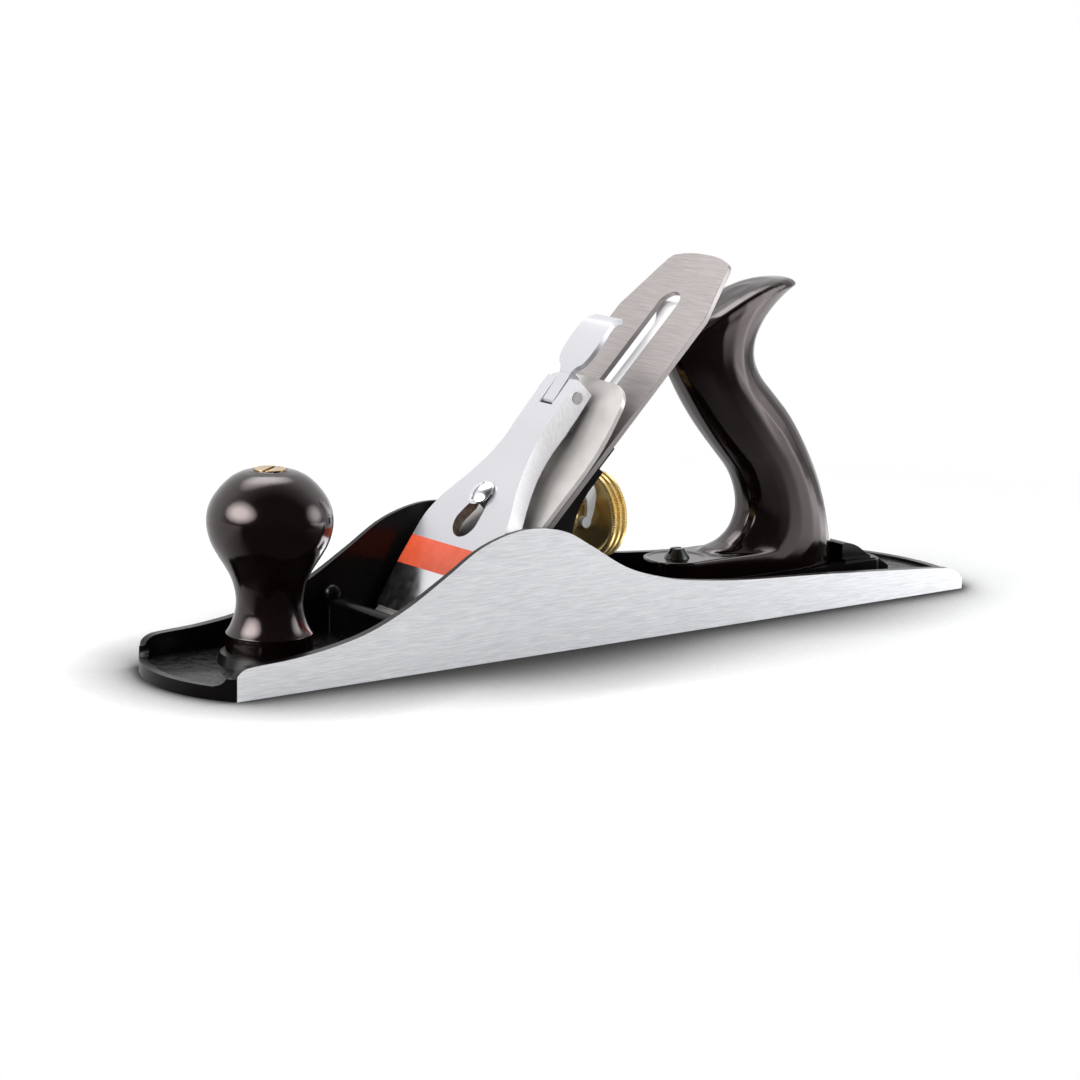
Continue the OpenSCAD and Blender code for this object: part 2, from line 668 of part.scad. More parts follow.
// Bean-shaped hole: round where it clears the screw's head, narrow and off centre round the shank
module keyhole() {
    s0 = cap_screw_s - cap_release;
    translate([s0, 0, 0]) cylinder(r = keyhole_r, h = 30);
    linear_extrude(30) polygon(concat(
        [[s0, -keyhole_r], [s0 + 5, -keyhole_r + 0.2], [cap_screw_s, -5]],
        arc([cap_screw_s, -0.8], 4.2, -90, 90, 16),
        [[cap_screw_s - 4, 3.7], [cap_screw_s - 7, 5.2], [s0 + 1.6, keyhole_r - 0.2], [s0, keyhole_r]]));
}

module lever_cap_screw() {
    color("#dcdde0") on_bed() translate([cap_screw_s, 0, 0]) {
        translate([0, 0, -10.8]) cylinder(r = cap_screw_r, h = 28);
        difference() {
            intersection() {
                translate([0, 0, cap_screw_seat]) cylinder(r = cap_head_r, h = 2.9);
                translate([0, 0, cap_screw_seat - 5.6]) sphere(r = 8.4);
            }
            driver_slot(cap_screw_seat + 2.8, 6, 1.1, 1.3);
        }
    }
}

// Leaf under the lever cap: riveted flat, bowed down to the cap iron, its tip under the cam
module lever_cap_spring() {
    leaf = smooth([[65, 12.9], [70, 13.3], [74, 13.4], [80, 12.4], [88, 9.6], [94, 7.8], [98.5, 7], [102, 7.1],
        [105, 8.1], [108, 9.1], [110.5, 9.4]], 4);
    color("#c8cacc") on_bed() difference() {
        across(2 * spring_half) band(leaf, spring_t / 2);
        translate([spring_rivet_s, 0, 0]) cylinder(r = spring_rivet_r + 0.05, h = 30);
    }
}

module spring_rivet() {
    color("#d5d7da") on_bed() translate([spring_rivet_s, 0, 0]) {
        translate([0, 0, 11.8]) cylinder(r = spring_rivet_r - 0.02, h = 3.4);
        translate([0, 0, 11.3]) cylinder(r = 2.9, h = 1.2);
    }
}

// Cam: barrel on the pin with two lobes, a neck through the notch and a broad tab with a lip
module lever_cap_cam() {
    tab_end = cam_pin_s + cam_reach;
    tab_path = smooth([[cam_pin_s + 7, cam_pin_n + 4.2], [cam_pin_s + 10, cam_pin_n + 4.7],
        [cam_pin_s + 18, cam_pin_n + 5.6], [tab_end - 3, cam_pin_n + 6.2], [tab_end, cam_pin_n + 5.5],
        [tab_end + 2.8, cam_pin_n + 3.6]], 4);
    flare = smooth([[cam_pin_s + 7, cam_half], [cam_pin_s + 9, 4.4], [cam_pin_s + 11.5, 7.2], [cam_pin_s + 16, 8.6],
        [cam_pin_s + 22, 8.8], [tab_end - 1, 8]], 4);
    outline = concat([[cam_pin_s + 2, cam_half]], flare, [[tab_end + 6, 7.8]]);
    color("#cfd1d4") on_bed() difference() {
        union() {
            intersection() {
                across(20) band(tab_path, 1);
                translate([0, 0, 5]) linear_extrude(30) polygon(concat(outline, mirrored(flipped(outline))));
            }
            translate([cam_pin_s, 0, cam_pin_n]) {
                across(2 * cam_half) polygon([
                    [-5.8, 2.9], [-5.2, 3.7], [4.6, 4.6], [8, 5.2], [8, 0.6], [6.2, -1.6], [4, -3.4],
                    [1.6, -4.8], [-0.8, -5.1], [-3, -4.4], [-4.4, -3], [-5.2, -1.2], [-5.4, 0.6]
                ]);
                across(2 * bay_half - 0.7) polygon([
                    [-2.7, 0], [-2.8, -2.3], [-2.2, -4.1], [-0.6, -5.1], [0.8, -5], [1.8, -4.1],
                    [2.3, -2.4], [2.6, 0]
                ]);
                cross_bar(2.7, 2 * bay_half - 0.7);
            }
        }
        translate([cam_pin_s, 0, cam_pin_n]) cross_bar(cam_pin_r + running, 40);
    }
}

module cam_pin() {
    color("#dcdde0") on_bed() translate([cam_pin_s, 0, cam_pin_n]) {
        cross_bar(cam_pin_r - 0.01, 2 * cap_end_half - 1);
        for (side = [-1, 1]) translate([0, side * (cap_end_half - 0.35), 0]) cross_bar(2.3, 0.8);
    }
}

// Front knob, turned: domed top, full ball, waist and flared foot
module front_knob() {
    k = knob_r / 22.1;
    ball = smooth([[9.8 * k, 70.7], [13.2 * k, 69], [16.6 * k, 66], [19.7 * k, 62], [21.5 * k, 58],
        [knob_r, 54], [21.7 * k, 50], [20.5 * k, 46], [18.4 * k, 42], [15.9 * k, 38], [13.7 * k, 34], [12.4, 30],
        [11.8, 26], [12, 22], [13, 18.4], [14.2, 15.8], [15.5, 13.9]], 4);
    lift = knob_top - 72;
    color("#241a18") translate([knob_x, 0, 0]) rotate_extrude()
        polygon(concat(
            [[3.6, knob_boss_z], [15.4, knob_boss_z], [15.2, 13.2]],
            [for (p = flipped(ball)) p + [0, lift * p[1] / 72]],
            [[5.6, 71.7 + lift], [5.6, 69.6 + lift], [4.6, 69.6 + lift], [4.6, 50], [3.6, 50]]));
}

module knob_bolt() {
    color("#a5a7a9") translate([knob_x, 0, 3]) cylinder(r = rod_r, h = knob_top - 9);
}

// Barrel nut with a slotted head, its bore upward from z0 on the rod's axis
module barrel_nut(z0, z1) {
    difference() {
        union() {
            translate([0, 0, z0]) cylinder(r = 4.4, h = z1 - z0 - 1);
            translate([0, 0, z1 - 2.1]) cylinder(r = nut_r, h = 2.1);
        }
        translate([0, 0, z0 - cut]) cylinder(r = rod_r + running, h = z1 - z0 - 4);
        driver_slot(z1, nut_r, 1.3, 1.3);
    }
}

module knob_nut() {
    color("#c9a44c") translate([knob_x, 0, 0]) rotate([0, 0, 35]) barrel_nut(knob_top - 18, knob_top);
}

// Frame of the tote's rod: its axis is Z, zero where it enters the pad
module tote_rod_frame() {
    translate([tote_rod_foot[0], 0, tote_rod_foot[1]]) rotate([0, tote_rod_angle - 90, 0]) children();
}

// Sections of the grip from the foot to the horn: front X and Z, rear X and Z, then the part of
// the full thickness, and how far the section bows up between its ends
grip_stations = smooth([
    [60, 11.5, 126, 11.5, 0.99, 0], [62.5, 20.6, 125.6, 14, 0.99, 0], [72, 23.5, 125.2, 17.6, 0.99, 0],
    [78.4, 27.6, 124.2, 22, 1, 0], [81.8, 33.6, 122, 30, 1, 0], [82.2, 39, 119.4, 38.2, 1, 0],
    [80.6, 45, 115.3, 48.4, 1, 0], [77.2, 51, 108.9, 60.2, 1, 0], [71.4, 57.4, 100.8, 72.2, 1, 0],
    [65, 64.4, 92, 81.6, 1, 0], [59, 71.6, 85, 89, 1, 0], [53.5, 79, 81.5, 96.4, 1, 0.5],
    [48.8, 86, 82.4, 103.4, 0.99, 1.3], [45.6, 91, 86.8, 110, 0.97, 2.2], [43.8, 94.8, 92.2, 114.8, 0.95, 3],
    [43, 98.2, 98.2, 118.8, 0.92, 3.8], [43.3, 100.8, 104, 121.8, 0.88, 4.3]
], 3);
ring_n = 28;

// A point round a section: a softened rectangle between its front and rear points
function grip_point(st, a, k, lift) =
    let (
        c = sign(cos(a)) * pow(abs(cos(a)), 0.82) * k,
        s = sign(sin(a)) * pow(abs(sin(a)), 0.82) * k,
        mid = [st[0] + st[2], st[1] + st[3]] / 2,
        reach = [st[2] - st[0], st[3] - st[1]] / 2,
        up = [-reach[1], reach[0]] / norm(reach),
        rise = lift + st[5] * (1 - c * c) * (1 + 0.6 * c)
    )
    [mid[0] + reach[0] * c + up[0] * rise, tote_half * st[4] * s, mid[1] + reach[1] * c + up[1] * rise];

// The last section shrinks and rises into the crowned top face
crown = [[0.99, 0.9], [0.97, 1.8], [0.9, 2.7], [0.68, 3.3], [0.35, 3.6]];

module grip() {
    top = grip_stations[len(grip_stations) - 1];
    rings = concat(
        [for (st = grip_stations) [for (j = [0:ring_n - 1]) grip_point(st, 360 * j / ring_n, 1, 0)]],
        [for (k = crown) [for (j = [0:ring_n - 1]) grip_point(top, 360 * j / ring_n, k[0], k[1])]]);
    last = len(rings) - 1;
    foot_hub = len(rings) * ring_n;
    polyhedron(
        points = concat([for (r = rings) each r],
            [[(grip_stations[0][0] + grip_stations[0][2]) / 2, 0, grip_stations[0][1]],
            grip_point(top, 0, 0, 3.6)]),
        faces = concat(
            [for (i = [0:last - 1]) for (j = [0:ring_n - 1]) let (
                a = i * ring_n + j, b = i * ring_n + (j + 1) % ring_n)
                each [[a, b + ring_n, b], [a, a + ring_n, b + ring_n]]],
            [for (j = [0:ring_n - 1]) [foot_hub, j, (j + 1) % ring_n]],
            [for (j = [0:ring_n - 1])
                [foot_hub + 1, last * ring_n + (j + 1) % ring_n, last * ring_n + j]]));
}

module tote() {
    nut_seat = tote_rod_len + 3.4;
    foot_x = tote_foot_x0 + tote_foot_half;
    color("#241a18") difference() {
        union() {
            grip();
            translate([foot_x, 0, pad_z]) cylinder(r = tote_foot_half, h = tote_foot_top - pad_z);
            translate([foot_x, -tote_foot_half, pad_z])
                cube([43, 2 * tote_foot_half, tote_foot_top - pad_z]);
        }
        tote_rod_frame() {
            translate([0, 0, -10]) cylinder(r = rod_r + 0.5, h = tote_rod_len + 20);
            translate([0, 0, tote_rod_len - 20]) cylinder(r = 4.6, h = 40);
            translate([0, 0, nut_seat - 2.2]) cylinder(r = nut_r + 0.1, h = 20);
        }
        translate([toe_screw_x, 0, 0]) cylinder(r = toe_screw_r + 0.4, h = 24);
        // Flat round the screw, sunk a little into the foot
        translate([foot_x, 0, tote_foot_top - 0.5]) cylinder(r = tote_foot_half - 1.1, h = 8);
    }
}

module tote_bolt() {
    color("#a5a7a9") tote_rod_frame() translate([0, 0, -9.2]) cylinder(r = rod_r, h = tote_rod_len + 4);
}

module tote_nut() {
    color("#c9a44c") tote_rod_frame() barrel_nut(tote_rod_len - 16, tote_rod_len + 3.4);
}

module tote_toe_screw() {
    seat = tote_foot_top - 0.5;
    color("#1d1c1d") translate([toe_screw_x, 0, 0]) difference() {
        union() {
            translate([0, 0, 4.6]) cylinder(r = toe_screw_r, h = seat - 4);
            translate([0, 0, seat]) cylinder(r1 = 4.9, r2 = 4.3, h = 1.2);
            translate([0, 0, seat + 1.2]) cylinder(r1 = 4.3, r2 = 2.6, h = 2.6);
        }
        driver_slot(seat + 3.8, 4, 1.2, 2);
    }
}

body_casting();
frog();
frog_screws();
frog_screw_washers();
frog_adjusting_screw();
frog_clip();
frog_clip_screw();
yoke_lever();
yoke_pin();
depth_stud();
depth_wheel();
lateral_lever();
lateral_roller();
lateral_rivet();
cutting_iron();
cap_iron();
cap_iron_screw();
lever_cap();
lever_cap_screw();
lever_cap_spring();
spring_rivet();
lever_cap_cam();
cam_pin();
front_knob();
knob_bolt();
knob_nut();
tote();
tote_bolt();
tote_nut();
tote_toe_screw();
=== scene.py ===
import json
import math

import bpy
from mathutils import Matrix, Vector


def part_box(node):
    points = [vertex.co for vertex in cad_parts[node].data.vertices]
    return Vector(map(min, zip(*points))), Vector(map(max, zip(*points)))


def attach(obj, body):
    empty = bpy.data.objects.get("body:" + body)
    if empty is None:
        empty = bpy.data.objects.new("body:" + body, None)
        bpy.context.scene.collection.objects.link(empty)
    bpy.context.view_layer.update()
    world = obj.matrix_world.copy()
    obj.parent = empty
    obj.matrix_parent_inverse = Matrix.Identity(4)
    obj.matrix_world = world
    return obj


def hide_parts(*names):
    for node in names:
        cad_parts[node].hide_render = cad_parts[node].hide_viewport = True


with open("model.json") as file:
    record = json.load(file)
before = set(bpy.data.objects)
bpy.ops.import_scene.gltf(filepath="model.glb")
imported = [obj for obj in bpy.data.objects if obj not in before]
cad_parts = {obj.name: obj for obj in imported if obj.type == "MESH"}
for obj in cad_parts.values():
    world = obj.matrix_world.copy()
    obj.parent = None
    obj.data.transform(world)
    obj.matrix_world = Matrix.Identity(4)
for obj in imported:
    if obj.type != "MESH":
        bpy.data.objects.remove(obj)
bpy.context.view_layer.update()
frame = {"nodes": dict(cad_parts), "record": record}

MM = 0.001

# Places worked out from the frame
SOLE_THICKNESS = 3.6 * MM
MOUTH_FROM_TOE = 105 * MM
BED_ANGLE = math.radians(45)
sole_low, sole_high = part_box("body_casting")
wheel_low, wheel_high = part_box("depth_wheel")
wheel_axis_z = (wheel_low.z + wheel_high.z) / 2
wheel_radius = (wheel_high.z - wheel_low.z) / 2
half_width = sole_high.y
mouth = Vector((sole_low.x + MOUTH_FROM_TOE, 0, 0))
up_bed = Vector((1, 0, 1)).normalized()
off_bed = Vector((-1, 0, 1)).normalized()


def on_bed(s):
    """The place on the bed that lies s millimetres up from the mouth."""
    return mouth + up_bed * (s * MM)


def up_the_bed(point):
    return (point - mouth).dot(up_bed) / MM


def off_the_bed(point):
    return (point - mouth).dot(off_bed) / MM


# Camera, as the photograph was taken
CAMERA_YAW = math.radians(-37.3346)
CAMERA_PITCH = math.radians(11.5383)
CAMERA_ROLL = math.radians(1.1014)
CAMERA_TARGET = Vector((-15.2789, 0, 33.9531)) * MM
CAMERA_DISTANCE = 1253.27 * MM
CAMERA_LENS = 113.59
CAMERA_SENSOR = 36


def place_camera():
    """Sets up the camera that was fitted to the photograph."""
    back = Vector((
        math.sin(CAMERA_YAW) * math.cos(CAMERA_PITCH),
        -math.cos(CAMERA_YAW) * math.cos(CAMERA_PITCH),
        math.sin(CAMERA_PITCH),
    ))
    right = Vector((0, 0, 1)).cross(back).normalized()
    up = back.cross(right)
    turn = Matrix.Rotation(CAMERA_ROLL, 3, back)
    right, up = turn @ right, turn @ up
    data = bpy.data.cameras.new("camera")
    data.lens = CAMERA_LENS
    data.sensor_width = CAMERA_SENSOR
    data.clip_start = 0.01
    data.clip_end = 50
    camera = bpy.data.objects.new("camera", data)
    camera.matrix_world = Matrix((
        (right.x, up.x, back.x, 0),
        (right.y, up.y, back.y, 0),
        (right.z, up.z, back.z, 0),
        (0, 0, 0, 1),
    ))
    camera.location = CAMERA_TARGET + back * CAMERA_DISTANCE
    bpy.context.scene.collection.objects.link(camera)
    bpy.context.scene.camera = camera


place_camera()


# Finishes
NOISE_DARK = 0.3
NOISE_LIGHT = 0.7
METAL_GRAIN_TURN = (0, BED_ANGLE, 0)


def srgb(r, g, b):
    """A colour given as it looks on screen, 0 to 255, as the linear values that a shader takes."""
    def linear(c):
        c /= 255
        return c / 12.92 if c <= 0.04045 else ((c + 0.055) / 1.055) ** 2.4
    return (linear(r), linear(g), linear(b), 1)


class Finish:
    """One material, built up from noise, bands and bumps on the piece's own coordinates."""

    def __init__(self, name, colour, metallic=0.0, roughness=0.5, coat=0.0, coat_roughness=0.05):
        self.material = bpy.data.materials.new(name)
        self.material.use_nodes = True
        self.tree = self.material.node_tree
        self.shader = self.tree.nodes["Principled BSDF"]
        self.shader.inputs["Base Color"].default_value = colour
        self.shader.inputs["Metallic"].default_value = metallic
        self.shader.inputs["Roughness"].default_value = roughness
        self.shader.inputs["Coat Weight"].default_value = coat
        self.shader.inputs["Coat Roughness"].default_value = coat_roughness
        self.bump_end = None

    def node(self, kind, **inputs):
        made = self.tree.nodes.new(kind)
        for key, value in inputs.items():
            made.inputs[key].default_value = value
        return made

    def link(self, a, b):
        self.tree.links.new(a, b)

    def noise(self, scale, detail, turn=(0, 0, 0), distortion=0.0):
        """Noise of one scale, or of three along X, Y and Z that draw it out into grain."""
        if not isinstance(scale, tuple):
            scale = (scale, scale, scale)
        place = self.node("ShaderNodeTexCoord")
        mapping = self.node("ShaderNodeMapping", Scale=scale, Rotation=turn)
        pattern = self.node("ShaderNodeTexNoise", Scale=1.0, Detail=detail, Distortion=distortion)
        self.link(place.outputs["Object"], mapping.inputs["Vector"])
        self.link(mapping.outputs["Vector"], pattern.inputs["Vector"])
        return pattern.outputs["Fac"]

    def ranged(self, value, low, high):
        """Noise spread over this range, as most of it lies between its dark and its light."""
        made = self.node("ShaderNodeMapRange")
        made.inputs["From Min"].default_value = NOISE_DARK
        made.inputs["From Max"].default_value = NOISE_LIGHT
        made.inputs["To Min"].default_value = low
        made.inputs["To Max"].default_value = high
        self.link(value, made.inputs["Value"])
        return made.outputs["Result"]

    def vary_roughness(self, value, low, high):
        self.link(self.ranged(value, low, high), self.shader.inputs["Roughness"])

    def vary_colour(self, value, dark, light):
        mix = self.node("ShaderNodeMix")
        mix.data_type = "RGBA"
        mix.inputs["A"].default_value = dark
        mix.inputs["B"].default_value = light
        self.link(self.ranged(value, 0, 1), mix.inputs["Factor"])
        self.link(mix.outputs["Result"], self.shader.inputs["Base Color"])

    def bump(self, value, depth_mm, strength):
        made = self.node("ShaderNodeBump", Strength=strength, Distance=depth_mm * MM)
        self.link(value, made.inputs["Height"])
        if self.bump_end:
            self.link(self.bump_end, made.inputs["Normal"])
        self.bump_end = made.outputs["Normal"]
        self.link(self.bump_end, self.shader.inputs["Normal"])


def black_enamel():
    made = Finish("black enamel", srgb(7, 5, 6), roughness=0.36, coat=0.26, coat_roughness=0.16)
    made.shader.inputs["Specular IOR Level"].default_value = 0.12
    made.vary_roughness(made.noise(60, 4), 0.24, 0.38)
    made.bump(made.noise(320, 3), 0.04, 0.5)
    return made.material


def cast_floor_enamel():
    """Enamel over the skin of the casting, which was never machined."""
    made = Finish("enamel on rough casting", srgb(8, 6, 7), roughness=0.42, coat=0.22, coat_roughness=0.1)
    made.shader.inputs["Specular IOR Level"].default_value = 0.14
    made.bump(made.noise(270, 4, distortion=0.3), 0.9, 0.9)
    made.bump(made.noise(1100, 3), 0.2, 0.8)
    made.vary_roughness(made.noise(240, 4), 0.24, 0.45)
    return made.material


def ground_cheek():
    """Iron ground along the plane's length, with fine streaks."""
    made = Finish("ground iron", srgb(224, 225, 228), metallic=0.3, roughness=0.45)
    streaks = made.noise((150, 2600, 3800), 3)
    fine = made.noise((420, 6000, 7600), 2)
    made.vary_colour(streaks, srgb(209, 210, 213), srgb(236, 237, 239))
    made.vary_roughness(streaks, 0.4, 0.5)
    made.bump(fine, 0.012, 0.5)
    return made.material


def ground_blade():
    """Blade steel ground across its width: warm grey, with lines that run from side to side."""
    made = Finish("ground blade steel", srgb(152, 146, 145), metallic=0.8, roughness=0.34)
    lines = made.noise((3400, 110, 3400), 4, METAL_GRAIN_TURN)
    made.vary_colour(lines, srgb(142, 136, 135), srgb(163, 157, 156))
    made.vary_roughness(made.noise(45, 3), 0.31, 0.38)
    made.bump(lines, 0.012, 0.45)
    return made.material


def satin_cap_iron():
    made = Finish("satin cap iron steel", srgb(206, 202, 199), metallic=0.6, roughness=0.33)
    made.vary_colour(made.noise(130, 5), srgb(200, 195, 191), srgb(212, 208, 206))
    made.vary_roughness(made.noise(1100, 3), 0.31, 0.36)
    return made.material


def satin_nickel():
    made = Finish("satin nickel plate", srgb(201, 201, 206), metallic=0.8, roughness=0.32)
    grain = made.noise(900, 3)
    made.vary_roughness(grain, 0.29, 0.36)
    made.bump(grain, 0.004, 0.3)
    return made.material


def bright_nickel():
    made = Finish("bright nickel plate", srgb(233, 233, 237), metallic=1.0, roughness=0.16)
    made.vary_roughness(made.noise(300, 3), 0.13, 0.2)
    made.bump(made.noise(900, 2), 0.004, 0.3)
    return made.material


def brushed_nickel():
    """The flanks of the lever cap: plated over file marks that follow the edge."""
    made = Finish("brushed nickel plate", srgb(240, 240, 243), metallic=0.3, roughness=0.36)
    marks = made.noise((2600, 5200, 420), 3, METAL_GRAIN_TURN)
    made.vary_colour(marks, srgb(230, 229, 231), srgb(248, 248, 250))
    made.vary_roughness(marks, 0.3, 0.42)
    made.bump(marks, 0.012, 0.4)
    return made.material


def keyhole_wall():
    """The cast wall inside the keyhole, thinly plated; its brown to pale grey mottle is painted
    reflection.
    """
    made = Finish("keyhole wall with painted reflection", srgb(120, 92, 78), metallic=0.6, roughness=0.45)
    # Painted reflection: the brown to pale grey mottle stands in for what the wall reflects.
    made.vary_colour(made.noise(250, 4), srgb(110, 66, 46), srgb(164, 150, 138))
    made.bump(made.noise(500, 3), 0.03, 0.5)
    return made.material


def orange_panel_enamel():
    made = Finish("orange panel enamel", srgb(208, 80, 47), roughness=0.38, coat=0.2, coat_roughness=0.2)
    made.vary_colour(made.noise(240, 3), srgb(203, 75, 42), srgb(213, 86, 53))
    made.bump(made.noise(900, 2), 0.012, 0.4)
    return made.material


def polished_brass():
    made = Finish("polished brass", srgb(238, 208, 138), metallic=0.6, roughness=0.2)
    made.vary_colour(made.noise(160, 4), srgb(230, 197, 122), srgb(244, 218, 154))
    made.vary_roughness(made.noise(400, 3), 0.15, 0.27)
    made.bump(made.noise(2000, 2), 0.006, 0.4)
    return made.material


def dull_brass():
    made = Finish("dull brass", srgb(196, 166, 120), metallic=1.0, roughness=0.28)
    made.vary_colour(made.noise(160, 4), srgb(186, 154, 106), srgb(205, 177, 134))
    made.vary_roughness(made.noise(400, 3), 0.22, 0.34)
    return made.material


def bright_zinc():
    made = Finish("bright zinc plate", srgb(240, 241, 243), metallic=0.4, roughness=0.34)
    made.vary_roughness(made.noise(500, 3), 0.28, 0.4)
    made.bump(made.noise(1200, 2), 0.006, 0.4)
    return made.material


def machined_steel():
    made = Finish("machined steel", srgb(168, 168, 170), metallic=1.0, roughness=0.32)
    made.vary_roughness(made.noise(700, 3), 0.24, 0.42)
    made.bump(made.noise(1500, 2), 0.01, 0.5)
    return made.material


def blackened_steel():
    made = Finish("blackened steel", srgb(20, 18, 18), metallic=0.2, roughness=0.32, coat=0.3)
    made.bump(made.noise(900, 3), 0.02, 0.5)
    made.vary_roughness(made.noise(300, 3), 0.25, 0.4)
    return made.material


def dark_lacquer():
    """Stained hardwood under thick lacquer: nearly black, brown where light falls on it."""
    made = Finish("dark lacquer", srgb(9, 4, 4), roughness=0.13)
    made.vary_colour(made.noise((28, 28, 9), 5, distortion=0.4), srgb(6, 2, 2), srgb(12, 5, 5))
    made.shader.inputs["Specular IOR Level"].default_value = 0.72
    made.shader.inputs["Specular Tint"].default_value = srgb(255, 238, 239)
    return made.material


FINISHES = {
    "enamel": black_enamel(),
    "cast_floor": cast_floor_enamel(),
    "cheek": ground_cheek(),
    "blade": ground_blade(),
    "cap_iron": satin_cap_iron(),
    "satin_nickel": satin_nickel(),
    "nickel": bright_nickel(),
    "brushed_nickel": brushed_nickel(),
    "keyhole": keyhole_wall(),
    "panel": orange_panel_enamel(),
    "brass": polished_brass(),
    "dull_brass": dull_brass(),
    "zinc": bright_zinc(),
    "steel": machined_steel(),
    "black_steel": blackened_steel(),
    "lacquer": dark_lacquer(),
}

# Handling of pieces
MERGE_DISTANCE = 0.02 * MM
FLAT_WITHIN = math.radians(0.6)
CORNER_ANGLE = math.radians(32)
body_of = {n: b for b, members in frame["record"]["behaviour"]["bodies"].items() for n in members}


def work_on(piece):
    """Selects this piece alone and makes it the one that the operators act on."""
    if bpy.context.object and bpy.context.object.mode != "OBJECT":
        bpy.ops.object.mode_set(mode="OBJECT")
    bpy.ops.object.select_all(action="DESELECT")
    bpy.context.view_layer.objects.active = piece
    piece.select_set(True)


def edit(piece, *steps):
    """Runs each step in edit mode, with the whole mesh selected before it."""
    work_on(piece)
    bpy.ops.object.mode_set(mode="EDIT")
    for step in steps:
        bpy.ops.mesh.select_all(action="SELECT")
        step()
    bpy.ops.object.mode_set(mode="OBJECT")


def apply_modifier(piece, kind, **settings):
    """Adds one modifier with these settings and makes its result the mesh."""
    work_on(piece)
    modifier = piece.modifiers.new(kind.lower(), kind)
    for key, value in settings.items():
        setattr(modifier, key, value)
    bpy.ops.object.modifier_apply(modifier=modifier.name)


def copy_of(node, name, flat_faces=True):
    """The node's own shape as one joined mesh without slivers, with its flat faces made whole."""
    piece = bpy.data.objects.new(name, frame["nodes"][node].data.copy())
    piece.data.materials.clear()
    bpy.context.scene.collection.objects.link(piece)
    edit(
        piece,
        lambda: bpy.ops.mesh.remove_doubles(threshold=MERGE_DISTANCE),
        lambda: bpy.ops.mesh.dissolve_degenerate(threshold=MERGE_DISTANCE),
    )
    if flat_faces:
        edit(piece, lambda: bpy.ops.mesh.dissolve_limited(angle_limit=FLAT_WITHIN))
    return piece


def smooth_piece(piece, angle=35):
    """Rounds the shading of gentle corners, and keeps large flat faces flat."""
    work_on(piece)
    bpy.ops.object.shade_smooth_by_angle(angle=math.radians(angle))
    apply_modifier(piece, "WEIGHTED_NORMAL", weight=100, keep_sharp=True)


def soften_edges(piece, width_mm, segments=2, slot=-1):
    """Rounds the corners; a slot gives the roundings the finish that stands there."""
    apply_modifier(
        piece, "BEVEL", width=width_mm * MM, segments=segments, limit_method="ANGLE",
        angle_limit=CORNER_ANGLE, miter_outer="MITER_ARC", harden_normals=False, material=slot,
    )


def paint(piece, finish, where=None):
    """Gives the faces that the test picks, or all of them, this finish."""
    material = FINISHES[finish]
    names = [m.name for m in piece.data.materials]
    if material.name not in names:
        piece.data.materials.append(material)
        names.append(material.name)
    index = names.index(material.name)
    for face in piece.data.polygons:
        if where is None or where(face):
            face.material_index = index


def seat(piece, node):
    """The piece moves with its node's body, and the node itself is hidden."""
    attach(piece, body_of[node])
    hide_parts(node)


def dress(node, finish, edge_mm):
    """Puts a node's own shape in its place, with softened edges and one finish."""
    piece = copy_of(node, node + "_dressed")
    paint(piece, finish)
    soften_edges(piece, edge_mm)
    smooth_piece(piece)
    seat(piece, node)


# Body casting: ground outside, enamelled inside, rough on its floor
CASTING_EDGE = 0.45
CASTING_SMOOTH = 38
SURFACE_SLACK = 0.05 * MM


def make_body_casting():
    piece = copy_of("body_casting", "casting")
    paint(piece, "enamel")

    def is_ground(face):
        outside = abs(face.normal.y) > 0.99 and abs(face.center.y) > half_width - SURFACE_SLACK
        under = face.normal.z < -0.99 and face.center.z < SURFACE_SLACK
        return outside or under

    def is_floor(face):
        return face.normal.z > 0.99 and face.center.z < SOLE_THICKNESS + 2 * SURFACE_SLACK

    paint(piece, "cast_floor", is_floor)
    paint(piece, "cheek", is_ground)
    soften_edges(piece, CASTING_EDGE, 3, slot=0)
    smooth_piece(piece, CASTING_SMOOTH)
    seat(piece, "body_casting")


def make_frog():
    dress("frog", "enamel", 0.35)


# Screws, pins and nuts, by their finish
HARDWARE_EDGE = 0.2
HARDWARE = {
    "frog_screws": "steel",
    "frog_screw_washers": "steel",
    "frog_adjusting_screw": "steel",
    "frog_clip": "steel",
    "frog_clip_screw": "steel",
    "yoke_pin": "steel",
    "depth_stud": "brass",
    "lateral_roller": "steel",
    "lateral_rivet": "steel",
    "cap_iron_screw": "steel",
    "spring_rivet": "nickel",
    "knob_bolt": "steel",
    "tote_bolt": "steel",
    "tote_toe_screw": "black_steel",
    "knob_nut": "dull_brass",
    "tote_nut": "dull_brass",
    "lever_cap_screw": "nickel",
    "cam_pin": "nickel",
}


def make_hardware():
    for node, finish in HARDWARE.items():
        dress(node, finish, HARDWARE_EDGE)


# Iron and cap iron
def make_irons():
    dress("cutting_iron", "blade", 0.12)
    dress("cap_iron", "cap_iron", 0.14)


# Lever cap: satin top, bright flanks, and the bare panel set into the broad end
PANEL_START = 26.5
PANEL_END = 38.0
KEYHOLE_START = 40
KEYHOLE_END = 66
KEYHOLE_HALF_WIDTH = 7 * MM
TOP_OFF_BED = 5
LEVER_CAP_EDGE = 0.35


